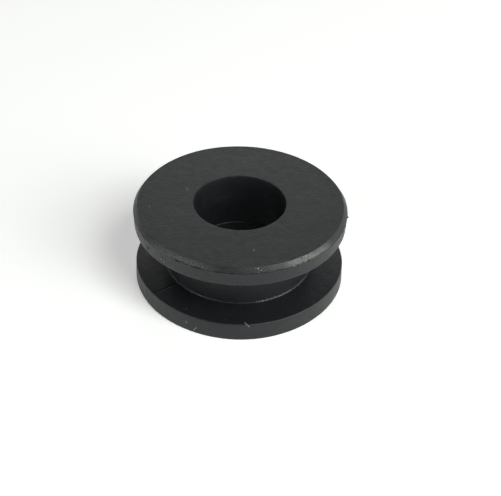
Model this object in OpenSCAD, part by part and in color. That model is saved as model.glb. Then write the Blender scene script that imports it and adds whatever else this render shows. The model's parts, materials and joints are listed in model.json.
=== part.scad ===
// Exhaust rubber bushing: a moulded grommet with two flanges, a waist that sits in a
// bracket plate and a bore that grips the sleeve of the fixing bolt.
// It is one moulding, drawn as one section and turned about the bore.
// Millimetres, +Z up. The origin is on the bore's axis, in the lower flange's flat face.

/* [Flanges] */
// Outside diameter of the upper flange, the bevelled one
upper_d = 30; // [26:0.2:40]
// Thickness of the upper flange, bevel included
upper_t = 2.8; // [2:0.1:5]
// Outside diameter of the lower flange
lower_d = 29.8; // [26:0.2:40]
// Thickness of the lower flange
lower_t = 2.7; // [2:0.1:5]

/* [Waist] */
// Width of the groove between the flanges, where the bracket plate sits
groove_w = 6.8; // [3:0.1:12]
// Diameter of the waist, which is also that of the hole in the bracket
waist_d = 21; // [17:0.5:23]
// Radius of the fillets where the waist runs into the flanges
waist_fillet = 0.3; // [0.1:0.05:1]

/* [Bore] */
// Diameter of the bore above the seam of the mould's two core pins
bore_d = 13; // [8:0.1:15]
// How much narrower the bore is below that seam, across the diameter
seam_step = 0.4; // [0.4:0.1:2]
// Height of the seam above the lower flange's face
seam_z = 4.2; // [2:0.1:6]
// Radius that breaks the two ends of the bore
bore_round = 0.1; // [0.1:0.05:0.6]

/* [Rims] */
// Height of the bevel, from the mould's joint line up to the top face
bevel_h = 0.75; // [0.4:0.05:1.4]
// How far the bevel leans in from the rim
bevel_in = 0.55; // [0.3:0.05:1.5]
// Step at the joint line, where the mould's top plate is a little the smaller
joint_step = 0.05; // [0.02:0.01:0.2]
// Radius on the edges that the mould leaves nearly sharp
edge_round = 0.15; // [0.05:0.05:0.5]

/* [Hidden] */

$fn = 180;

upper_r = upper_d / 2;
lower_r = lower_d / 2;
waist_r = waist_d / 2;
bore_r = bore_d / 2;
foot_r = bore_r - seam_step / 2;

groove_z = lower_t + groove_w;
height = groove_z + upper_t;
joint_z = height - bevel_h;

// Corners of the section before any is rounded, from the bore's foot out and up to its mouth
section_corners = [
    [foot_r, 0],
    [lower_r, 0],
    [lower_r, lower_t],
    [waist_r, lower_t],
    [waist_r, groove_z],
    [upper_r, groove_z],
    [upper_r, joint_z],
    [upper_r - joint_step, joint_z],
    [upper_r - bevel_in, height],
    [bore_r, height],
    [bore_r, seam_z],
    [foot_r, seam_z]
];

// What lies between a square corner and the arc that rounds it.
// The corner is at [r, z]; side_r and side_z, each 1 or -1, say which way it opens.
// Added, it fills an inside corner; taken away, it rounds an outside one.
module corner_web(r, z, side_r, side_z, radius) {
    translate([r, z])
        scale([side_r, side_z])
            difference() {
                square(radius);
                translate([radius, radius])
                    circle(radius);
            }
}

// The section, on the +X side of the bore's axis
module section() {
    difference() {
        union() {
            polygon(section_corners);
            corner_web(waist_r, lower_t, 1, 1, waist_fillet);
            corner_web(waist_r, groove_z, 1, -1, waist_fillet);
        }
        corner_web(lower_r, 0, -1, 1, edge_round);
        corner_web(lower_r, lower_t, -1, -1, edge_round);
        corner_web(upper_r, groove_z, -1, 1, edge_round);
        corner_web(foot_r, 0, 1, 1, bore_round);
        corner_web(bore_r, height, 1, -1, bore_round);
    }
}

// The whole bushing
module bushing() {
    color([0.13, 0.13, 0.13])
        rotate_extrude()
            section();
}

bushing();
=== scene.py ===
# %% [markdown]
# # A rubber bushing for an exhaust bracket
# The bushing is one piece of moulded black rubber: two flanges, a waist between them that
# sits in the hole of a bracket plate, and a bore for the sleeve of the fixing bolt.
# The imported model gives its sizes. This lesson builds the rubber as one mesh around it,
# with the marks that a mould leaves, and then gives it a satin rubber finish.
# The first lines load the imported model. It is never moved, only measured.

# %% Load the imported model
import json
import math
import bpy
import numpy as np
from mathutils import Matrix, Vector, noise


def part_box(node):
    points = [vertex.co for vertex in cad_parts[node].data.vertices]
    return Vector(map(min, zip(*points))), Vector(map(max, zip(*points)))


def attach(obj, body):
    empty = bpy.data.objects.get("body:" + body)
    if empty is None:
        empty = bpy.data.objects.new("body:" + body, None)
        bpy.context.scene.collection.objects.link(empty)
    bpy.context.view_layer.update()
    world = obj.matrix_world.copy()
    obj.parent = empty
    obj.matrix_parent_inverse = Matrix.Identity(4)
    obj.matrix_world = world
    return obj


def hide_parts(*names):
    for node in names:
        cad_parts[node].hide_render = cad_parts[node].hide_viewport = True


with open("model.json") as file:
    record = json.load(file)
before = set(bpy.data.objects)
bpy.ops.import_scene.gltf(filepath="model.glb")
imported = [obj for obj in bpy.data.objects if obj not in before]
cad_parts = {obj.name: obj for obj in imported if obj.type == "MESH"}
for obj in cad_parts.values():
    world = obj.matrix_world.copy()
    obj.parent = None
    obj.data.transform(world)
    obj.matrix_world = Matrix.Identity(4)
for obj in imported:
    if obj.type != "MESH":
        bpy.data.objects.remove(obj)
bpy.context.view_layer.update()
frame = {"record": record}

MM = 0.001

# %% [markdown]
# ## Sizes
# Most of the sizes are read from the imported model: the outside from the node's box, the
# bore from the two mounts that the record lists. The rest are the ones that a caliper
# would give on the real piece. All of them are in millimetres, because a bushing is
# measured that way, and the mesh is turned into metres only when it is written.

# %% Sizes of the bushing
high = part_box("bushing")[1]             # the upper corner of the node's box
mounts = {mount["name"]: mount for mount in frame["record"]["mounts"]}
foot = mounts["bore_foot"]

upper_r = high.x / MM                   # rim of the upper flange
height = high.z / MM                    # over both flanges
bore_r = mounts["bore"]["dims"]["r_mm"]
foot_r = foot["dims"]["r_mm"]           # the bore below the core pins' seam
seam_z = foot["pos_m"][2] / MM + foot["dims"]["length_mm"] / 2

lower_r = 14.9                          # rim of the lower flange
lower_t = 2.7                           # thickness of the lower flange
groove_z = 9.5                          # underside of the upper flange
waist_r = 10.5
waist_fillet = 0.3                      # at both ends of the waist
mouth_round = 0.06                      # the two ends of the bore are nearly sharp
edge_round = 0.15                       # along both rims
joint_z = height - 0.75                 # where the mould's top plate meets its ring
joint_step = 0.05                       # the rim steps in there
bevel_in = 0.55                         # from the rim to the flat of the top face
print("upper flange r", round(upper_r, 2), "height", round(height, 2), "seam at", round(seam_z, 2))

# %% [markdown]
# ## Camera
# The camera stands a hand's width from the bushing and looks down on it by about 38 degrees,
# so the top face, the groove and both rims show. At that distance the near side of a
# 30 mm piece is clearly larger than the far side, so the distance matters as much as the
# lens. A camera in Blender looks along its own -Z, so its axes are written as a matrix:
# right, up, and the opposite of the way it looks. It leans a little to one side.

# %% Camera
IMAGE_WIDTH = 501                       # pixels across the frame
FOCAL_PIXELS = 1069.86                  # focal length, in those pixels
SENSOR_WIDTH = 36                       # millimetres, Blender's usual one
NEAR, FAR = 0.01, 10                    # metres, nothing closer or farther is drawn
camera_elevation = math.radians(37.97)
camera_distance = 157.22 * MM
camera_lean = math.radians(1.80)
aim = Vector((1.685, 2.051, 2.628)) * MM

look = Vector((0, math.cos(camera_elevation), -math.sin(camera_elevation)))
camera_up = Vector((0, math.sin(camera_elevation), math.cos(camera_elevation)))
axes = Matrix((Vector((1, 0, 0)), camera_up, -look)).transposed()

camera_data = bpy.data.cameras.new("camera")
camera_data.sensor_width = SENSOR_WIDTH
camera_data.lens = FOCAL_PIXELS / IMAGE_WIDTH * SENSOR_WIDTH
camera_data.clip_start, camera_data.clip_end = NEAR, FAR
camera = bpy.data.objects.new("camera", camera_data)
camera.matrix_world = Matrix.Translation(aim - look * camera_distance) @ (
    axes @ Matrix.Rotation(camera_lean, 3, "Z")
).to_4x4()
scene = bpy.context.scene
scene.collection.objects.link(camera)
scene.camera = camera
scene.view_settings.view_transform = "Standard"
print("lens", round(camera_data.lens, 1), "mm")

# %% [markdown]
# ## Nodes
# A world, a material and a node group are the same thing inside: nodes with links between
# them. They could be drawn by hand in the node editor. Written as code, the same few lines
# come back for every node, so helpers take them up. An input gets either a value of its
# own or another node's output, and the first helper tells the two apart.

# %% Helpers for nodes


def feed(tree, socket, value):
    """Gives an input socket a value of its own, or links another node's output to it."""
    if isinstance(value, bpy.types.NodeSocket):
        tree.links.new(value, socket)
    else:
        socket.default_value = value


def math_node(tree, operation, *values, clamp=False):
    """A Math node; each value may be a number or another node's output."""
    node = tree.nodes.new("ShaderNodeMath")
    node.operation = operation
    node.use_clamp = clamp
    for socket, value in zip(node.inputs, values):
        feed(tree, socket, value)
    return node.outputs[0]


def range_node(tree, value, start, end, at_start, at_end):
    """A Map Range node: from start to end the result goes from at_start to at_end."""
    node = tree.nodes.new("ShaderNodeMapRange")
    settings = {
        "Value": value, "From Min": start, "From Max": end, "To Min": at_start, "To Max": at_end,
    }
    for name, setting in settings.items():
        feed(tree, node.inputs[name], setting)
    return node.outputs["Result"]


def distance_node(tree, place, other=(0, 0, 0)):
    """The distance between two places, or from a place to the middle of the scene."""
    node = tree.nodes.new("ShaderNodeVectorMath")
    node.operation = "DISTANCE"
    feed(tree, node.inputs[0], place)
    feed(tree, node.inputs[1], other)
    return node.outputs["Value"]


node_helpers = (feed, math_node, range_node, distance_node)
print("helpers:", [helper.__name__ for helper in node_helpers])

# %% [markdown]
# ## Light
# Black rubber shows almost nothing of its own colour: what the eye sees is the sheen, so
# the light is set up for what it looks like in the rubber. The world throws almost no
# light. It is the white backdrop that the camera sees, and near the horizon mirror-like
# rays see it too, so that the rims have something pale to shine back.

# %% World
HORIZON = 0.25, 0.45                    # sines of the heights where the backdrop fades out
WORLD_LIGHT = 0.02                      # the little that the world throws on everything
world = bpy.data.worlds.new("white backdrop")
world.use_nodes = True
sky = world.node_tree
backdrop = sky.nodes["Background"]
backdrop.inputs["Color"].default_value = (1, 1, 1, 1)

way_parts = sky.nodes.new("ShaderNodeSeparateXYZ")
feed(sky, way_parts.inputs[0], sky.nodes.new("ShaderNodeTexCoord").outputs["Generated"])
near_horizon = range_node(sky, way_parts.outputs["Z"], *HORIZON, 1, 0)
ray = sky.nodes.new("ShaderNodeLightPath").outputs
mirrored = math_node(sky, "ADD", ray["Is Glossy Ray"], ray["Is Transmission Ray"])
in_band = math_node(sky, "MULTIPLY", mirrored, near_horizon)
shown = math_node(sky, "MAXIMUM", in_band, ray["Is Camera Ray"])
feed(sky, backdrop.inputs["Strength"], math_node(sky, "ADD", shown, WORLD_LIGHT))
scene.world = world
fade_heights = [round(math.degrees(math.asin(sine))) for sine in HORIZON]
print("backdrop fades out between", fade_heights, "degrees up")

# %% [markdown]
# ## Lamps
# Soft lamps stand round the bushing at three heights, all of one size and at one distance.
# The high one in front and the one on the right are the strongest: they light the top face
# evenly and draw the bright line along the bevel. The one on the left gives that side its
# edge, and the faint ones fill in. Together they bring a surface that faces up close to
# the level at which a colour renders as it is written.

# %% Lamps
LAMP_AWAY = 0.6                         # metres from the bushing
LAMP_SIDE = 0.28                        # metres, all of them square
LAMP_TINT = (0.975, 1.0, 0.96)          # a trace of the green of a fluorescent tube


def soft_lamp(name, azimuth, elevation, watts):
    """An area lamp that faces the bushing, azimuth counted from +X towards +Y."""
    turn, rise = math.radians(azimuth), math.radians(elevation)
    way = Vector((
        math.cos(turn) * math.cos(rise),
        math.sin(turn) * math.cos(rise),
        math.sin(rise),
    ))
    data = bpy.data.lights.new(name, "AREA")
    data.size = LAMP_SIDE
    data.color = LAMP_TINT
    data.energy = watts
    lamp = bpy.data.objects.new(name, data)
    lamp.location = way * LAMP_AWAY
    lamp.rotation_euler = (-way).to_track_quat("-Z", "Y").to_euler()
    lamp.visible_camera = False
    scene.collection.objects.link(lamp)
    print(name, "at", azimuth, elevation, "degrees,", watts, "W")


soft_lamp("high lamp in front", -45, 50, 1.90)
soft_lamp("lamp on the right", -30, 25, 1.76)
soft_lamp("lamp on the left", -150, 25, 0.74)
soft_lamp("low lamp on the right", 0, 8, 0.58)
soft_lamp("faint lamp in front", -60, 25, 0.14)
soft_lamp("high lamp behind", 90, 50, 0.28)
soft_lamp("faint lamp behind", 90, 25, 0.20)

# %% [markdown]
# ## Floor
# The bushing stands on a plain sheet, which is one square face. It is far larger than the
# view, so that its edge stays out of sight from every side.

# %% Floor
FLOOR_HALF = 1.5                        # metres from the middle to the edge
square = ((-1, -1), (1, -1), (1, 1), (-1, 1))
floor_corners = [(x * FLOOR_HALF, y * FLOOR_HALF, 0) for x, y in square]
floor_mesh = bpy.data.meshes.new("floor")
floor_mesh.from_pydata(floor_corners, [], [(0, 1, 2, 3)])
floor = bpy.data.objects.new("floor", floor_mesh)
scene.collection.objects.link(floor)
print("floor", 2 * FLOOR_HALF, "m across")

# %% [markdown]
# ## White sheet
# The sheet's colour is a very pale grey, so it keeps the soft shadow. A little light of
# its own, which only the camera and mirror-like rays see, brings the open sheet up to
# white without throwing any more light on the rubber. Under the bushing the sheet has
# none of it, or the bore would shine from within, and far out, where the lamps don't
# reach, it has all of it, so the sheet runs into the backdrop.

# %% White sheet
SHEET_GREY = 0.88
OWN_LIGHT = 0.38, 1.0                   # the sheet's own light, close by and far out
OWN_LIGHT_AT = 0.12, 0.6                # metres from the middle where those two are reached
covered_r = (lower_r - 0.1) * MM        # no light of its own under the bushing
paper = bpy.data.materials.new("white sheet")
paper.use_nodes = True
paper_tree = paper.node_tree
paper_tree.nodes.clear()
sheet = paper_tree.nodes.new("ShaderNodeBsdfDiffuse")
sheet.inputs["Color"].default_value = (SHEET_GREY, SHEET_GREY, SHEET_GREY, 1)

floor_place = paper_tree.nodes.new("ShaderNodeNewGeometry").outputs["Position"]
from_middle = distance_node(paper_tree, floor_place)
level = range_node(paper_tree, from_middle, *OWN_LIGHT_AT, *OWN_LIGHT)
uncovered = math_node(paper_tree, "GREATER_THAN", from_middle, covered_r)
open_level = math_node(paper_tree, "MULTIPLY", level, uncovered)
ray = paper_tree.nodes.new("ShaderNodeLightPath").outputs
mirrored = math_node(paper_tree, "ADD", ray["Is Glossy Ray"], ray["Is Transmission Ray"])
seen = math_node(paper_tree, "ADD", mirrored, ray["Is Camera Ray"])
own_light = paper_tree.nodes.new("ShaderNodeEmission")
seen_level = math_node(paper_tree, "MULTIPLY", open_level, seen)
feed(paper_tree, own_light.inputs["Strength"], seen_level)

both = paper_tree.nodes.new("ShaderNodeAddShader")
paper_out = paper_tree.nodes.new("ShaderNodeOutputMaterial")
feed(paper_tree, both.inputs[0], sheet.outputs[0])
feed(paper_tree, both.inputs[1], own_light.outputs[0])
feed(paper_tree, paper_out.inputs["Surface"], both.outputs[0])
floor_mesh.materials.append(paper)
print("no light of its own within", round(covered_r / MM, 1), "mm of the middle")

# %% [markdown]
# ## The section
# A round moulding is easiest to describe by its section, the outline that a saw cut
# through the axis would show. The outline is a closed row of points, each a radius and a
# height. Straight runs get few points. The joint line of the mould, where the rubber is
# torn, gets a point every few hundredths of a millimetre, so that the tear can be shaped.
# A Screw modifier could turn an outline, but every point has to move on its own later.

# %% Helpers for the section


def run(start, end, steps):
    """Points from start towards end, end left out."""
    return [
        (start[0] + (end[0] - start[0]) * k / steps, start[1] + (end[1] - start[1]) * k / steps)
        for k in range(steps)
    ]


def arc(middle, radius, first, last, steps):
    """Points on a circle from angle first to last, in degrees, last left out."""
    points = []
    for k in range(steps):
        angle = math.radians(first + (last - first) * k / steps)
        points.append((middle[0] + radius * math.cos(angle), middle[1] + radius * math.sin(angle)))
    return points


print("a quarter circle in three steps:", np.round(arc((0, 0), 1, 0, 90, 3), 2).tolist())

# %% [markdown]
# ## The outline
# The row starts at the foot of the bore. It goes out along the lower face, up the lower
# rim, in to the waist, out again to the upper rim, over the bevel and the top face, and
# back down through the bore. Nearly every corner is a short arc, since moulded rubber has
# none that is quite sharp. Each piece leaves its last point to the next one.

# %% The outline, from the bore's foot out and up
joint_reach = 0.24                      # finely divided, on each side of the joint line
bevel_len = math.hypot(bevel_in - joint_step, height - joint_z)
bevel_way = ((joint_step - bevel_in) / bevel_len, (height - joint_z) / bevel_len)
bevel_foot = (upper_r - joint_step, joint_z)
bevel_fine = (bevel_foot[0] + bevel_way[0] * joint_reach, joint_z + bevel_way[1] * joint_reach)
top_edge = (upper_r - bevel_in, height)
top_round = 0.07                        # softens the edge between bevel and top face
bevel_end = (top_edge[0] - bevel_way[0] * top_round, height - bevel_way[1] * top_round)
top_in = (top_edge[0] - top_round, height)
mouth_in = bore_r + 0.25                # a row here keeps the top face flat up to the mouth
ring_z = 8.65                           # a fine ring inside the bore
ring_fall = 0.04                        # the height that the ring takes
ring_r = bore_r - 0.01                  # the bore below the ring
ledge_round = 0.12                      # inner edge of the ledge at the core pins' seam

outline = (
    run((foot_r + mouth_round, 0), (lower_r - edge_round, 0), 5)
    + arc((lower_r - edge_round, edge_round), edge_round, -90, 0, 3)
    + run((lower_r, edge_round), (lower_r, lower_t - edge_round), 7)
    + arc((lower_r - edge_round, lower_t - edge_round), edge_round, 0, 90, 3)
    + run((lower_r - edge_round, lower_t), (waist_r + waist_fillet, lower_t), 5)
    + arc((waist_r + waist_fillet, lower_t + waist_fillet), waist_fillet, 270, 180, 6)
    + run((waist_r, lower_t + waist_fillet), (waist_r, groove_z - waist_fillet), 4)
    + arc((waist_r + waist_fillet, groove_z - waist_fillet), waist_fillet, 180, 90, 3)
    + run((waist_r + waist_fillet, groove_z), (upper_r - edge_round, groove_z), 4)
    + arc((upper_r - edge_round, groove_z + edge_round), edge_round, -90, 0, 3)
    + run((upper_r, groove_z + edge_round), (upper_r, joint_z - joint_reach), 7)
    + run((upper_r, joint_z - joint_reach), (upper_r, joint_z), 6)
    + run((upper_r, joint_z), bevel_foot, 1)
    + run(bevel_foot, bevel_fine, 6)
    + run(bevel_fine, bevel_end, 7)
    + run(bevel_end, top_edge, 1)
    + run(top_edge, top_in, 1)
    + run(top_in, (mouth_in, height), 5)
    + run((mouth_in, height), (bore_r + mouth_round, height), 1)
    + arc((bore_r + mouth_round, height - mouth_round), mouth_round, 90, 180, 3)
    + run((bore_r, height - mouth_round), (bore_r, ring_z), 3)
    + run((bore_r, ring_z), (ring_r, ring_z - ring_fall), 1)
    + run((ring_r, ring_z - ring_fall), (ring_r, seam_z), 4)
    + run((ring_r, seam_z), (foot_r + ledge_round, seam_z), 1)
    + arc((foot_r + ledge_round, seam_z - ledge_round), ledge_round, 90, 180, 4)
    + run((foot_r, seam_z - ledge_round), (foot_r, mouth_round), 2)
    + arc((foot_r + mouth_round, mouth_round), mouth_round, 180, 270, 3)
)
rows = np.array(outline)
row_r, row_z = rows[:, 0], rows[:, 1]
print("outline:", len(rows), "points")

# %% [markdown]
# ## Turning the outline
# The outline is copied round the axis and each copy is one column of the mesh. The two
# ends meet, and so do the first and last column, so the result is a closed skin of
# four-sided faces. The columns stand closer together where there is more to show: near
# the two lines where the halves of the mould's ring meet, and along the side that has the
# most marks. The points are kept as a table of radius and height by row and column, since
# every mark of the mould is easiest to add there.

# %% Table of points
COLUMNS = 1000
PARTING = (-142.2, 37.8)                # degrees: where the two halves of the ring meet
PARTING_REACH = 1.2                     # degrees beside them that get more columns
MARKED_SIDE = (-150, -5)                # degrees: the side that has the most marks
marked_more, parting_more = 0.5, 2.5    # columns added there, as a share of the usual number
fine_turn = np.linspace(-np.pi, np.pi, 3601)
fine_degrees = np.degrees(fine_turn)
marked = (fine_degrees > MARKED_SIDE[0]) & (fine_degrees < MARKED_SIDE[1])
crowd = 1 + marked_more * marked
for azimuth in PARTING:
    crowd = crowd + parting_more * np.exp(-((fine_degrees - azimuth) / PARTING_REACH) ** 2)
share = np.concatenate(([0], np.cumsum(crowd[:-1])))
turn = np.interp(np.arange(COLUMNS) / COLUMNS * share[-1], share, fine_turn)
degrees = np.degrees(turn)
radius = np.repeat(rows[:, :1], COLUMNS, axis=1)
level_z = np.repeat(rows[:, 1:], COLUMNS, axis=1)

steps_along = np.hypot(*(np.roll(rows, -1, axis=0) - rows).T)
along = np.concatenate(([0], np.cumsum(steps_along)))
outline_len = along[-1]
along = along[:-1]
print("rows x columns:", len(rows), "x", COLUMNS, "- outline", round(outline_len, 1), "mm long")

# %% [markdown]
# ## Placing a mark
# Every mark needs a place along the outline, a place round the rim and a soft shape, so
# these are helpers. The humps are polynomials, which are 0 from their edge on and so leave
# the rest of the table alone. What wanders is read from a noise that closes on itself: its
# place goes round a circle, and the seed picks another slice of the same noise.

# %% Helpers for marks


def place_along(point_r, point_z):
    """Distance along the outline of the row nearest to a point of the section."""
    return along[np.argmin(np.hypot(row_r - point_r, row_z - point_z))]


def wander(size, seed):
    """A value that wanders between about -1 and 1 round the rim, a swing every size mm."""
    reach = upper_r / size
    return np.array([
        noise.noise(Vector((math.cos(t) * reach, math.sin(t) * reach, seed))) for t in turn
    ])


def off_line(azimuth, point_r):
    """Distance round the rim from an azimuth, in mm at that radius."""
    return ((degrees - azimuth + 180) % 360 - 180) * np.pi / 180 * point_r


def hump(distance, half):
    """1 in the middle, falling smoothly to 0 at half either side."""
    share = np.clip(1 - (distance / half) ** 2, 0, 1)
    return share * share


def within(first, last, soft):
    """1 between two azimuths, fading to 0 over soft degrees outside them."""
    return np.clip(np.minimum(degrees - first, last - degrees) / soft + 1, 0, 1)


print("a hump in the middle, half way and at its edge:", hump(np.array([0, 0.5, 1]), 1).round(2))

# %% [markdown]
# ## How true the moulding is
# Soft parts are never quite true. The flanges sit a tenth of a millimetre to one side of
# the bore and waist, because the mould's end plates and its ring don't line up. Both rims
# lean in a little towards the groove, so that they leave the mould, and they waver by a
# few hundredths of a millimetre. The lower flange is a trace out of round. The bevel is
# slightly rounded.

# %% Offset, draft and waver
flange_off = 0.11                       # the flanges sit this far to +X
draft = 0.09                            # how much each rim narrows towards the groove
low_wider = 0.04                        # the lower rim stands out by this, foot to top
rim_waver, low_waver, height_waver = 0.03, 0.02, 0.02
out_of_round = 0.07                     # of the lower flange, four times round
bevel_bulge = 0.04
by_face = 0.1                           # rows this close to a flange belong to it

rim_start, rim_end = waist_r + waist_fillet, lower_r - waist_fillet
rim_share = np.clip((row_r - rim_start) / (rim_end - rim_start), 0, 1)
top_flange = rim_share * (row_z > groove_z - by_face)
low_flange = rim_share * (row_z < lower_t + by_face)
rim_rise = np.clip((joint_z - row_z) / (joint_z - groove_z), 0, 1)
low_rise = np.clip(row_z / lower_t, 0, 1)

radius += np.outer(top_flange + low_flange, flange_off * np.cos(turn))
radius -= (top_flange * rim_rise * draft + low_flange * (low_rise * draft - low_wider))[:, None]
radius += np.outer(top_flange, rim_waver * wander(9.0, seed=41.0))
radius += np.outer(
    low_flange, low_waver * wander(8.0, seed=43.0) + out_of_round * np.cos(4 * turn)
)
level_z += np.outer(top_flange, height_waver * wander(12.0, seed=45.0))

joint_at = place_along(upper_r, joint_z)
from_joint = along - joint_at           # below the joint line is negative, up the bevel positive
bevel_share = np.clip(from_joint / bevel_len, 0, 1)
bulge = bevel_bulge * np.sin(np.pi * bevel_share) * (from_joint < bevel_len)
# on two arcs the rubber filled the step at the joint line, the second one only in part
step_gone = np.maximum(within(-160, -127, 4), 0.6 * within(-44, -8, 4))
radius += np.outer((1 - bevel_share) * (from_joint > 0), joint_step * step_gone)
radius += (bulge * bevel_way[1])[:, None]
level_z -= (bulge * bevel_way[0])[:, None]
print("flanges off by", flange_off, "mm, rims lean in by", draft, "mm")

# %% [markdown]
# ## The torn joint line
# Rubber is pressed between hot plates. A film of it creeps into the joint between the top
# plate and the ring below, and is torn off by hand when the piece comes out. That leaves
# a ragged line round the upper flange. In some places the tear went in and left a dark
# crack, and most of the line hardly shows. A list of cracks is laid over a faint line that
# runs all the way round, with a fine lip below it.

# %% Cracks and lip along the joint line
# azimuth in degrees, half length in mm, depth in mm
CRACKS = (
    (-134, 0.8, 0.03), (-128, 0.3, 0.05), (-121.8, 0.55, 0.16), (-117, 0.5, 0.07),
    (-110.5, 1.1, 0.13), (-104, 0.4, 0.05), (-100, 0.40, 0.13), (-96.5, 0.3, 0.06),
    (-92, 0.35, 0.11), (-87.5, 0.4, 0.05), (-83, 0.3, 0.04), (-75, 0.4, 0.03),
    (-68, 0.6, 0.08), (-63, 0.3, 0.03), (-58.5, 0.3, 0.06), (-55.3, 0.25, 0.11),
    (-51.2, 0.40, 0.16), (-46.5, 0.3, 0.06), (-42.3, 0.35, 0.09), (-33, 0.5, 0.05),
    (-27, 0.6, 0.08), (-15.5, 0.25, 0.10), (-10, 0.25, 0.08), (5, 0.8, 0.06),
    (22, 1.2, 0.10), (31, 0.4, 0.08), (52, 0.7, 0.05), (66, 1.4, 0.11),
    (80, 0.4, 0.07), (97, 0.9, 0.06), (110, 0.5, 0.12), (118, 1.2, 0.05),
    (133, 0.6, 0.10), (149, 1.0, 0.07), (161, 0.4, 0.12), (175, 0.9, 0.06),
    (-170, 0.6, 0.09), (-158, 0.9, 0.05), (-149, 0.4, 0.08),
)
faint_depth, more_depth = 0.015, 0.02   # the line where nothing tore, and what wanders on it
faint_lip, more_lip = 0.01, 0.05        # the same for the lip
ragged_by = 0.12                        # how far the ends of a crack wander
crack_width, crack_widens = 0.085, 0.5  # half width, and how much a deep crack gains
crack_above, lip_below = 0.06, 0.04     # from the joint line to the middle of each
lip_half = 0.07
lip_bias = 0.3                          # lets the lip show along more of the line
waver_by = 0.03                         # how far the whole line wavers up and down

crack_depth = faint_depth + more_depth * np.clip(wander(0.7, seed=3.1), 0, 1)
for azimuth, half, depth in CRACKS:
    ragged_edge = off_line(azimuth, upper_r) + ragged_by * wander(0.4, seed=9.3)
    full_hump = hump(ragged_edge, half) ** 0.5
    crack_depth = np.maximum(crack_depth, depth * full_hump)
lip_patches = np.clip(wander(1.9, seed=5.4) + lip_bias, 0, 1)
lip_out = faint_lip + more_lip * np.clip(wander(0.5, seed=11.2), 0, 1) * lip_patches
line_waver = waver_by * wander(1.1, seed=13.5)
across = from_joint[:, None] - line_waver[None, :]
crack_half = crack_width + crack_widens * crack_depth
radius -= hump(across - crack_above, crack_half) * crack_depth
radius += hump(across + lip_below, lip_half) * lip_out
deepest, farthest = float(crack_depth.max()), float(lip_out.max())
print("crack up to", round(deepest, 2), "mm, lip up to", round(farthest, 2), "mm")

# %% [markdown]
# ## Nibs and nicks
# In a few places the film tore off with a scrap of rubber left standing, a nib, or it took
# a chip out of the bevel or the rim. There are only a few, and no two are alike, so each
# has a line of its own in a table and is added as one soft bump.

# %% Nibs, nicks and scuffs
# azimuth in degrees, place across the joint, half length round the rim, half width, how far out
TORN = {
    "nib": (-6.3, -0.03, 0.20, 0.12, 0.24),
    "second nib": (-14.5, -0.03, 0.16, 0.09, 0.13),
    "third nib": (-20.0, -0.03, 0.20, 0.08, 0.09),
    "lip over the long crack": (-119.5, 0.22, 0.60, 0.12, 0.06),
    "lip before the long crack": (-125.5, 0.20, 0.30, 0.14, 0.05),
    "scuff in front": (-79.3, 0.45, 0.30, 0.20, 0.05),
    "scuff on the right": (-61.0, 0.35, 0.25, 0.16, 0.04),
    "second scuff on the right": (-54.5, 0.25, 0.30, 0.14, 0.05),
    "pit on the left rim": (-144.0, -0.95, 0.30, 0.30, -0.22),
    "blister on the left rim": (-132.5, -1.25, 0.22, 0.20, 0.07),
    "second blister": (-130.0, -1.05, 0.18, 0.16, 0.05),
    "nib at the back": (124.0, -0.03, 0.25, 0.12, 0.16),
    "second nib at the back": (73.0, -0.03, 0.18, 0.10, 0.12),
}
for name, (azimuth, up, half, width, out) in TORN.items():
    shape = np.outer(hump(from_joint - up, width), hump(off_line(azimuth, upper_r), half))
    radius += out * shape
    print(name, "at", azimuth, "degrees,", out, "mm")

# %% [markdown]
# ## Torn grain on the bevel
# Where the film tore upwards it roughened the bevel, which then glitters in the light of
# the lamp. Small random dents do that: a noise is read at every point of those rows and
# moves the point in or out by up to a hundredth of a millimetre, and by several of them
# on the arcs where the tear went up.

# %% Roughened patches


def dents(rows_used, size, seed):
    """Noise between about -1 and 1 at each point of some rows, a dent every size mm."""
    table = np.zeros_like(radius)
    for k in np.flatnonzero(rows_used):
        for column in range(COLUMNS):
            table[k, column] = noise.noise(Vector((
                radius[k, column] * math.cos(turn[column]) / size,
                radius[k, column] * math.sin(turn[column]) / size,
                level_z[k, column] / size + seed,
            )))
    return table


from_line, past_edge = 0.05, 0.02       # the roughened rows start and end here
on_bevel = (from_joint > from_line) & (from_joint < bevel_len + past_edge)
# azimuths of both ends and the fade beside them in degrees, how rough in mm
ROUGH_ARCS = (
    (-60, -43, 3, 0.04), (-133, -110, 5, 0.03), (-81, -77.5, 1, 0.06), (100, 125, 6, 0.025),
)
bevel_rough = 0.012                     # all the way round
for first, last, fade, rough in ROUGH_ARCS:
    bevel_rough = bevel_rough + rough * within(first, last, fade)
radius += dents(on_bevel, 0.28, seed=51.0) * bevel_rough
print("bevel roughened by up to", round(float(bevel_rough.max()), 3), "mm")

# %% [markdown]
# ## Parting lines
# The ring of the mould that shapes the waist is split in two halves, or it couldn't be
# taken off. Where they meet, a fine crease crosses the groove, runs up the waist and
# over both rims, once on the near left and once opposite. At the foot of the waist the
# rubber left a nib that stands in it.

# %% Crease where the halves of the ring meet
crease_depth, crease_half = 0.07, 0.2   # in the groove's floor
waist_share, rim_crease_share = 0.5, 0.15    # of that depth, on the waist and on both rims
crease_low, crease_high = 0.2, joint_z - 0.1
by_wall = 0.2                           # rows this close to a wall belong to it
floor_in, floor_out = waist_r + 0.15, lower_r - 0.1
nib_out, nib_half, nib_rise = 0.22, 0.16, 0.30
nib_azimuth = PARTING[0] + 0.1

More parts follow.
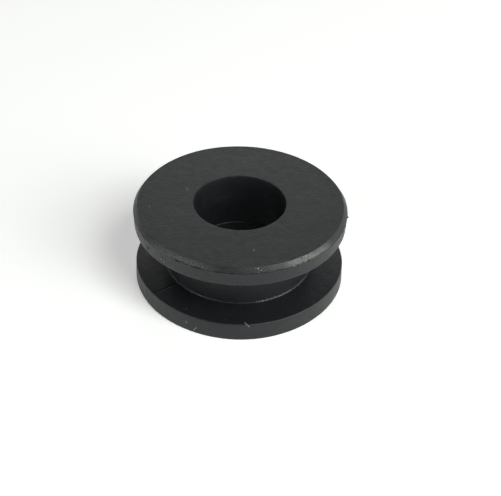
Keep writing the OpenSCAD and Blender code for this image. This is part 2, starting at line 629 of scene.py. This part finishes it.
between_plates = (row_z > crease_low) & (row_z < crease_high) & (row_r > waist_r - by_wall)
on_rim, on_waist = row_r > lower_r - by_wall, row_r < waist_r + by_wall
wall = np.select([on_rim, on_waist], [rim_crease_share, waist_share], 0.0)
in_groove = np.where((row_r > floor_in) & (row_r < floor_out), 1.0, 0.0)
into_flange = np.where(row_z < height / 2, -1.0, 1.0)
for azimuth in PARTING:
    for k in np.flatnonzero(between_plates):
        profile = hump(off_line(azimuth, row_r[k]), crease_half)
        radius[k] -= crease_depth * wall[k] * profile
        level_z[k] += crease_depth * in_groove[k] * into_flange[k] * profile
nib_rows = hump(along - place_along(waist_r, lower_t + waist_fillet), nib_rise)
radius += nib_out * np.outer(nib_rows, hump(off_line(nib_azimuth, waist_r), nib_half))
print("parting lines at", PARTING, "degrees")

# %% [markdown]
# ## Foot of the waist
# The fillet at the foot of the waist isn't even: it is fuller at the sides than in the
# middle, and ragged on both sides of that. Its rows are drawn in towards the corner by a
# share that changes round the waist.

# %% Uneven fillet
near = 0.01                             # rows this close to the fillet's ends belong to it
bead_out, bead_half = 0.1, 0.2          # from the waist, where the ragged bead lies
on_fillet = (
    (row_z > lower_t - near) & (row_z < lower_t + waist_fillet + near)
    & (row_r < waist_r + waist_fillet + near)
)
# leanest in the middle, and a little lean at the left end
fullness = 1 - 0.55 * within(-99, -79, 4) - 0.3 * within(-140, -130, 3)
ragged = 0.05 * within(-74, -28, 3) * wander(0.28, seed=23.0)
ragged += 0.03 * within(-128, -111, 3) * wander(0.35, seed=25.0)
for k in np.flatnonzero(on_fillet):
    bead = ragged * hump(row_r[k] - waist_r - bead_out, bead_half)
    radius[k] = waist_r + (radius[k] - waist_r) * fullness + bead
    level_z[k] = lower_t + (level_z[k] - lower_t) * fullness
print("fillet", round(float(waist_fillet * fullness.min()), 2), "to", waist_fillet, "mm")

# %% [markdown]
# ## The bore
# In the bore, the two core pins of the mould meet in a small ledge. Its rounded edge shows
# as a fine light ring, which wavers a little. The mouth of the bore is slightly nibbled.

# %% Ledge and mouth of the bore
ledge_waver, ledge_half = 0.03, 0.25
fine_nibble, coarse_nibble, mouth_half = 0.03, 0.02, 0.2
ledge = hump(along - place_along(foot_r + ledge_round / 2, seam_z), ledge_half)
level_z += np.outer(ledge, ledge_waver * wander(2.5, seed=31.0))
mouth = hump(along - place_along(bore_r, height), mouth_half)
nibbled = fine_nibble * wander(0.9, seed=33.0) + coarse_nibble * wander(3.0, seed=35.0)
radius += np.outer(mouth, nibbled)
print("ledge", round(bore_r - foot_r, 2), "mm wide at", round(seam_z, 2), "mm")

# %% [markdown]
# ## The mesh
# The table becomes vertices, and each step of the outline between two columns becomes one
# face. The faces are shaded smooth and the real corners are marked sharp by their angle.
# A Weighted Normal modifier lets the broad faces keep their own direction, so that only
# the narrow rounded edges between them turn in the light.

# %% Build the skin
sharp_from = math.radians(38)           # a corner sharper than this stays sharp
row_count = len(rows)
places = np.stack([radius * np.cos(turn), radius * np.sin(turn), level_z], axis=-1) * MM
here = np.arange(row_count)[:, None] * COLUMNS + np.arange(COLUMNS)[None, :]
next_row = np.roll(here, -1, axis=0)
faces = np.stack([
    here, np.roll(here, -1, axis=1), np.roll(next_row, -1, axis=1), next_row,
], axis=-1).reshape(-1, 4)

skin = bpy.data.meshes.new("bushing_skin")
skin.from_pydata(places.reshape(-1, 3).tolist(), [], faces.tolist())
skin.polygons.foreach_set("use_smooth", [True] * len(skin.polygons))
skin.set_sharp_from_angle(angle=sharp_from)
rubber_body = bpy.data.objects.new("rubber_bushing", skin)
scene.collection.objects.link(rubber_body)

flatter = rubber_body.modifiers.new("broad faces stay flat", "WEIGHTED_NORMAL")
flatter.keep_sharp = True
flatter.weight = 60
print(len(skin.vertices), "points,", len(skin.polygons), "faces")

# %% [markdown]
# ## The label
# A UV map says where each corner of a face lies on a flat picture. This one unrolls the
# skin like a label: once round is the width, once along the outline is the height. Each
# step along the outline keeps its true share of the height. Each column gets the same
# width, so the side with the most marks also gets a little more of the picture.

# %% UV map
label = skin.uv_layers.new(name="OFBake")
v_low = np.repeat(along / outline_len, COLUMNS)
v_high = np.repeat(np.append(along[1:], outline_len) / outline_len, COLUMNS)
u_left = np.tile(np.arange(COLUMNS) / COLUMNS, row_count)
u_right = u_left + 1 / COLUMNS
corner_uv = np.stack([u_left, v_low, u_right, v_low, u_right, v_high, u_left, v_high], axis=-1)
label.data.foreach_set("uv", corner_uv.ravel())
print("label:", len(label.data), "corners, outline", round(outline_len, 1), "mm for its height")

# %% [markdown]
# ## Rubber
# Moulded rubber takes the surface of the steel it was pressed against. It is nearly black,
# with a satin sheen from a fine grain. Carbon and wax work their way out unevenly, so the
# colour and the sheen drift a little from place to place. Each of these effects is a node
# group, so that it can be placed in any rubber part with other values. All of them read a
# place on the surface and some numbers, and put out one value.

# %% Helpers for node groups


def new_group(name, result, numbers):
    """A node group that reads Place and the named numbers, and puts out one value."""
    group = bpy.data.node_groups.new(name, "ShaderNodeTree")
    group.interface.new_socket("Place", in_out="INPUT", socket_type="NodeSocketVector")
    for number_name, value in numbers.items():
        socket = group.interface.new_socket(
            number_name, in_out="INPUT", socket_type="NodeSocketFloat",
        )
        socket.default_value = value
    group.interface.new_socket(result, in_out="OUTPUT", socket_type="NodeSocketFloat")
    inputs = group.nodes.new("NodeGroupInput").outputs
    output = group.nodes.new("NodeGroupOutput").inputs[0]
    return group, inputs, output


def noise_node(tree, place, scale, detail):
    """A Noise Texture read at place; its Fac output goes from about 0.2 to 0.8."""
    node = tree.nodes.new("ShaderNodeTexNoise")
    for name, value in (("Vector", place), ("Scale", scale), ("Detail", detail)):
        feed(tree, node.inputs[name], value)
    return node.outputs["Fac"]


print("helpers:", [helper.__name__ for helper in (new_group, noise_node)])

# %% [markdown]
# ## Grain
# The steel of a mould is roughened, which gives the rubber its fine grains, and the skin
# also waves a little where it shrank. One noise makes the grains and a coarser one the
# waves, and both are added to one height.

# %% Moulded grain
wave_height = 0.9                       # as a share of a grain's height
grain_group, grain_in, grain_out = new_group(
    "moulded grain", "Height", {"Grains per metre": 5000.0, "Waves per metre": 450.0},
)
fine = noise_node(grain_group, grain_in["Place"], grain_in["Grains per metre"], detail=3)
waves = noise_node(grain_group, grain_in["Place"], grain_in["Waves per metre"], detail=2)
low_waves = math_node(grain_group, "MULTIPLY", waves, wave_height)
feed(grain_group, grain_out, math_node(grain_group, "ADD", fine, low_waves))
print("grain group:", len(grain_group.nodes), "nodes")

# %% [markdown]
# ## Drift
# One group serves for the colour and for the sheen. A noise makes the patches, and it is
# spread so that it runs between the two ends that the material asks for.

# %% Surface drift
NOISE_ENDS = 0.25, 0.75                 # the noise seldom goes beyond these
drift_group, drift_in, drift_out = new_group(
    "surface drift", "Value", {"Patches per metre": 160.0, "Low": 0.0, "High": 1.0},
)
patch = noise_node(drift_group, drift_in["Place"], drift_in["Patches per metre"], detail=5)
drift = range_node(drift_group, patch, *NOISE_ENDS, drift_in["Low"], drift_in["High"])
feed(drift_group, drift_out, drift)
print("drift group:", len(drift_group.nodes), "nodes")

# %% [markdown]
# ## Dust
# Black rubber shows every speck of lint. Each speck is a small round patch about a point
# on the surface, given by its azimuth, radius and height, and a longer bit of lint is a
# few of them in a row. The distance from the surface to the point is compared with the
# speck's size, a fine noise makes the edge ragged, and the group gives one mask for all.
# The specks are part of the finish, not of the mesh.

# %% Dust specks
# azimuth in degrees, radius, height and size in mm, how thick the dust lies
DUST = (
    (158.8, 8.16, 12.3, 0.13, 0.4), (161.0, 7.95, 12.3, 0.09, 0.3),
    (-172.3, 12.68, 12.3, 0.11, 0.4), (-78.7, 11.03, 12.3, 0.11, 0.6),
    (-79.6, 14.62, 12.15, 0.12, 0.4), (-78.2, 14.80, 11.9, 0.10, 0.4),
    (-117.4, 14.95, 1.32, 0.12, 1.0), (-111.5, 14.96, 0.95, 0.09, 1.0),
    (-112.1, 14.96, 0.76, 0.10, 1.0), (-112.8, 14.96, 0.52, 0.10, 1.0),
    (-119.8, 13.78, 2.7, 0.08, 0.3), (-85.3, 14.55, 2.7, 0.09, 0.9),
    (-84.6, 14.80, 2.68, 0.10, 0.9), (-83.7, 14.92, 2.45, 0.09, 0.9),
    (-131.2, 14.95, 10.2, 0.11, 0.8), (-133.0, 14.95, 10.4, 0.10, 0.8),
    (-56.4, 14.80, 11.9, 0.09, 0.4), (-50.0, 14.72, 12.0, 0.09, 0.4),
    (-151.0, 14.2, 2.7, 0.07, 0.3), (-96.4, 14.1, 2.7, 0.07, 0.3),
    (24.0, 14.97, 10.6, 0.11, 0.6), (61.0, 10.2, 12.3, 0.08, 0.2),
    (83.0, 14.92, 1.1, 0.12, 0.9), (84.2, 14.92, 1.25, 0.10, 0.9),
    (112.0, 13.1, 2.7, 0.10, 0.4), (133.0, 14.95, 10.9, 0.10, 0.5),
    (170.0, 14.90, 0.8, 0.11, 0.7), (10.0, 14.93, 1.7, 0.10, 0.7),
    (45.0, 12.6, 12.3, 0.08, 0.2),
)
speck_fade = 0.05 * MM                  # a speck fades out over this
speck_ragged = 0.25 * MM                # how far the noise moves its edge
on_flange_r = waist_r + 1               # specks farther out move with the flange
dust_group, dust_in, dust_out = new_group(
    "dust specks", "Mask", {"Edge noise per metre": 9000.0},
)
edge_noise = noise_node(
    dust_group, dust_in["Place"], dust_in["Edge noise per metre"], detail=1,
)
centred = math_node(dust_group, "SUBTRACT", edge_noise, 0.5)
swell = math_node(dust_group, "MULTIPLY", centred, speck_ragged)
mask = 0.0
for azimuth, speck_r, speck_z, size, thick in DUST:
    angle = math.radians(azimuth)
    shift = flange_off if speck_r > on_flange_r else 0
    speck = Vector((speck_r * math.cos(angle) + shift, speck_r * math.sin(angle), speck_z)) * MM
    away = math_node(dust_group, "ADD", distance_node(dust_group, dust_in["Place"], speck), swell)
    gap = math_node(dust_group, "SUBTRACT", away, size * MM)
    round_mask = math_node(dust_group, "MULTIPLY", gap, -1 / speck_fade, clamp=True)
    one = math_node(dust_group, "MULTIPLY", round_mask, thick)
    mask = math_node(dust_group, "MAXIMUM", mask, one)
feed(dust_group, dust_out, mask)
print(len(DUST), "specks of dust")

# %% [markdown]
# ## Arcs that shine
# Where the film tore along two arcs of the bevel, the rubber shines more than the grain around it,
# and its colour is made paler there as a painted highlight of the lamps' bright line. The foot of
# the waist shines too, since the mould's sharp corner was polished there. The group finds an arc
# between two heights: the azimuth of each point comes from its own place on the object.

# %% Arcs between two heights
arc_fade = math.radians(8)              # an arc fades in over this from each of its ends
arc_group, arc_in, arc_out = new_group(
    "arc between heights", "Mask", {"Middle": 0.0, "Half": 0.1, "Lowest": 0.0, "Highest": 1.0},
)
spot = arc_group.nodes.new("ShaderNodeSeparateXYZ")
feed(arc_group, spot.inputs[0], arc_in["Place"])
round_at = math_node(arc_group, "ARCTAN2", spot.outputs["Y"], spot.outputs["X"])
off_arc = math_node(arc_group, "SUBTRACT", round_at, arc_in["Middle"])
from_arc = math_node(arc_group, "ABSOLUTE", off_arc)
left_over = math_node(arc_group, "SUBTRACT", arc_in["Half"], from_arc)
in_arc = math_node(arc_group, "MULTIPLY", left_over, 1 / arc_fade, clamp=True)
above = math_node(arc_group, "GREATER_THAN", spot.outputs["Z"], arc_in["Lowest"])
below = math_node(arc_group, "LESS_THAN", spot.outputs["Z"], arc_in["Highest"])
in_height = math_node(arc_group, "MULTIPLY", above, below)
feed(arc_group, arc_out, math_node(arc_group, "MULTIPLY", in_height, in_arc))
print("arc group:", [item.name for item in arc_group.interface.items_tree])

# %% [markdown]
# ## The rubber's shader
# One Principled shader carries the whole finish. Rubber bends light about as much as most
# plastics, and the pits of the grain swallow some of what it would shine back, so the
# specular level is a little under its usual half. Both are the same all over, so they are
# set on the shader itself. What changes over the surface comes from the groups.

# %% Rubber and its groups
rubber = bpy.data.materials.new("moulded black rubber")
rubber.use_nodes = True
rubber_tree = rubber.node_tree
shader = rubber_tree.nodes["Principled BSDF"]
shader.inputs["IOR"].default_value = 1.5
shader.inputs["Specular IOR Level"].default_value = 0.44
surface_place = rubber_tree.nodes.new("ShaderNodeTexCoord").outputs["Object"]


def place_group(group, numbers):
    """Puts a node group in the rubber and reads the surface's own place into it."""
    node = rubber_tree.nodes.new("ShaderNodeGroup")
    node.node_tree = group
    feed(rubber_tree, node.inputs["Place"], surface_place)
    for name, value in numbers.items():
        feed(rubber_tree, node.inputs[name], value)
    return node.outputs[0]


patchy = place_group(drift_group, {"Patches per metre": 210.0})
speckled = place_group(drift_group, {"Patches per metre": 3600.0, "Low": -0.2, "High": 1.2})
sheen_drift = place_group(drift_group, {"Patches per metre": 900.0, "Low": 0.41, "High": 0.53})
grain = place_group(grain_group, {})
dust = place_group(dust_group, {})
print("node groups:", [group.name for group in bpy.data.node_groups])

# %% [markdown]
# ## Where it shines
# The film tore hardest along two arcs of the bevel, on the right and on the left, and the
# mould's corner is polished along two arcs at the foot of the waist.

# %% Shining arcs


def shining_arc(first, last, lowest, highest):
    """A mask for the arc between two azimuths in degrees and two heights in mm."""
    return place_group(arc_group, {
        "Middle": math.radians((first + last) / 2), "Half": math.radians((last - first) / 2),
        "Lowest": lowest * MM, "Highest": highest * MM,
    })


bevel_heights = joint_z, height - 0.03
foot_heights = lower_t + 0.04, lower_t + waist_fillet
# the two bevel arcs also carry the painted highlight in the colour, besides the lower roughness
right_arc = shining_arc(-66, -32, *bevel_heights)
left_arc = shining_arc(-144, -98, *bevel_heights)
foot_right = shining_arc(-78, -22, *foot_heights)
foot_left = shining_arc(-130, -110, *foot_heights)
bevel_arcs = math_node(rubber_tree, "ADD", right_arc, left_arc)
foot_arcs = math_node(rubber_tree, "ADD", foot_right, foot_left)
print("bevel shines from", round(bevel_heights[0], 2), "to", round(bevel_heights[1], 2), "mm")

# %% [markdown]
# ## Colour
# The colour is laid on in three coats. The first drifts between two blacks, in large
# patches with a fine speckle over them. The second is a painted highlight: a paler colour
# on two arcs of the bevel, where the lamps draw their bright line. The last is the dust.
# A Mix node lays each one on, with a mask for its factor.

# %% Colour of the rubber
MIX_UNDER, MIX_OVER, MIX_RESULT = 6, 7, 2    # a Mix node's sockets for colours
deep_black = (0.0042, 0.0056, 0.0074, 1)
worn_black = (0.0094, 0.0110, 0.0130, 1)
# a paler colour for the bevel's arcs: a painted highlight of the lamps' bright line
painted_highlight_colour = (0.135, 0.140, 0.125, 1)
lint = (0.42, 0.43, 0.40, 1)
patch_part, speckle_part = 0.4, 0.6     # of the drift between the two blacks
right_highlight, left_highlight = 0.55, 0.28      # how much of the painted highlight each arc takes
highlight_evenly = 0.5                       # the rest of it comes and goes with the speckle


def coat(under, over, factor):
    """Lays one colour over another; each may be a colour or a node's output."""
    node = rubber_tree.nodes.new("ShaderNodeMix")
    node.data_type = "RGBA"
    feed(rubber_tree, node.inputs["Factor"], factor)
    feed(rubber_tree, node.inputs[MIX_UNDER], under)
    feed(rubber_tree, node.inputs[MIX_OVER], over)
    return node.outputs[MIX_RESULT]


def weighted(first, first_weight, second, second_weight, clamp=False):
    """Two values, each times its weight, added up."""
    return math_node(
        rubber_tree, "ADD",
        math_node(rubber_tree, "MULTIPLY", first, first_weight),
        math_node(rubber_tree, "MULTIPLY", second, second_weight), clamp=clamp,
    )


colour_drift = weighted(patchy, patch_part, speckled, speckle_part, clamp=True)
# the painted highlight: a paler colour on the bevel's arcs, speckled
painted_highlight_arcs = weighted(right_arc, right_highlight, left_arc, left_highlight)
speckle_share = math_node(rubber_tree, "MULTIPLY", speckled, 1 - highlight_evenly)
highlight_speckle = math_node(rubber_tree, "ADD", speckle_share, highlight_evenly)
painted_highlight_mask = math_node(rubber_tree, "MULTIPLY", painted_highlight_arcs, highlight_speckle, clamp=True)
black = coat(deep_black, worn_black, colour_drift)
with_painted_highlight = coat(black, painted_highlight_colour, painted_highlight_mask)
feed(rubber_tree, shader.inputs["Base Color"], coat(with_painted_highlight, lint, dust))
print("three coats of colour:", deep_black[:3], painted_highlight_colour[:3], lint[:3])

# %% [markdown]
# ## Sheen and relief
# The roughness drifts with the sheen, drops where the rubber shines, and rises where dust
# lies. The grain is far too fine for the mesh, so a Bump node tilts the shading by it.

# %% Sheen and relief
bevel_shine, foot_shine, dust_matt = 0.15, 0.2, 0.4
grain_depth = 0.06 * MM
shine = weighted(bevel_arcs, bevel_shine, foot_arcs, foot_shine)
polished = math_node(rubber_tree, "SUBTRACT", sheen_drift, shine)
dusty = math_node(rubber_tree, "MULTIPLY", dust, dust_matt)
roughness = math_node(rubber_tree, "ADD", polished, dusty, clamp=True)
feed(rubber_tree, shader.inputs["Roughness"], roughness)

relief = rubber_tree.nodes.new("ShaderNodeBump")
relief.inputs["Strength"].default_value = 1.0
relief.inputs["Distance"].default_value = grain_depth
feed(rubber_tree, relief.inputs["Height"], grain)
feed(rubber_tree, shader.inputs["Normal"], relief.outputs["Normal"])
skin.materials.append(rubber)
print("material:", rubber.name, "with", len(rubber_tree.nodes), "nodes")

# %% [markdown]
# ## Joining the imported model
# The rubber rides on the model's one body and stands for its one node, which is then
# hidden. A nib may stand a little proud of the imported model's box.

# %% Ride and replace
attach(rubber_body, "root")
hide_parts("bushing")
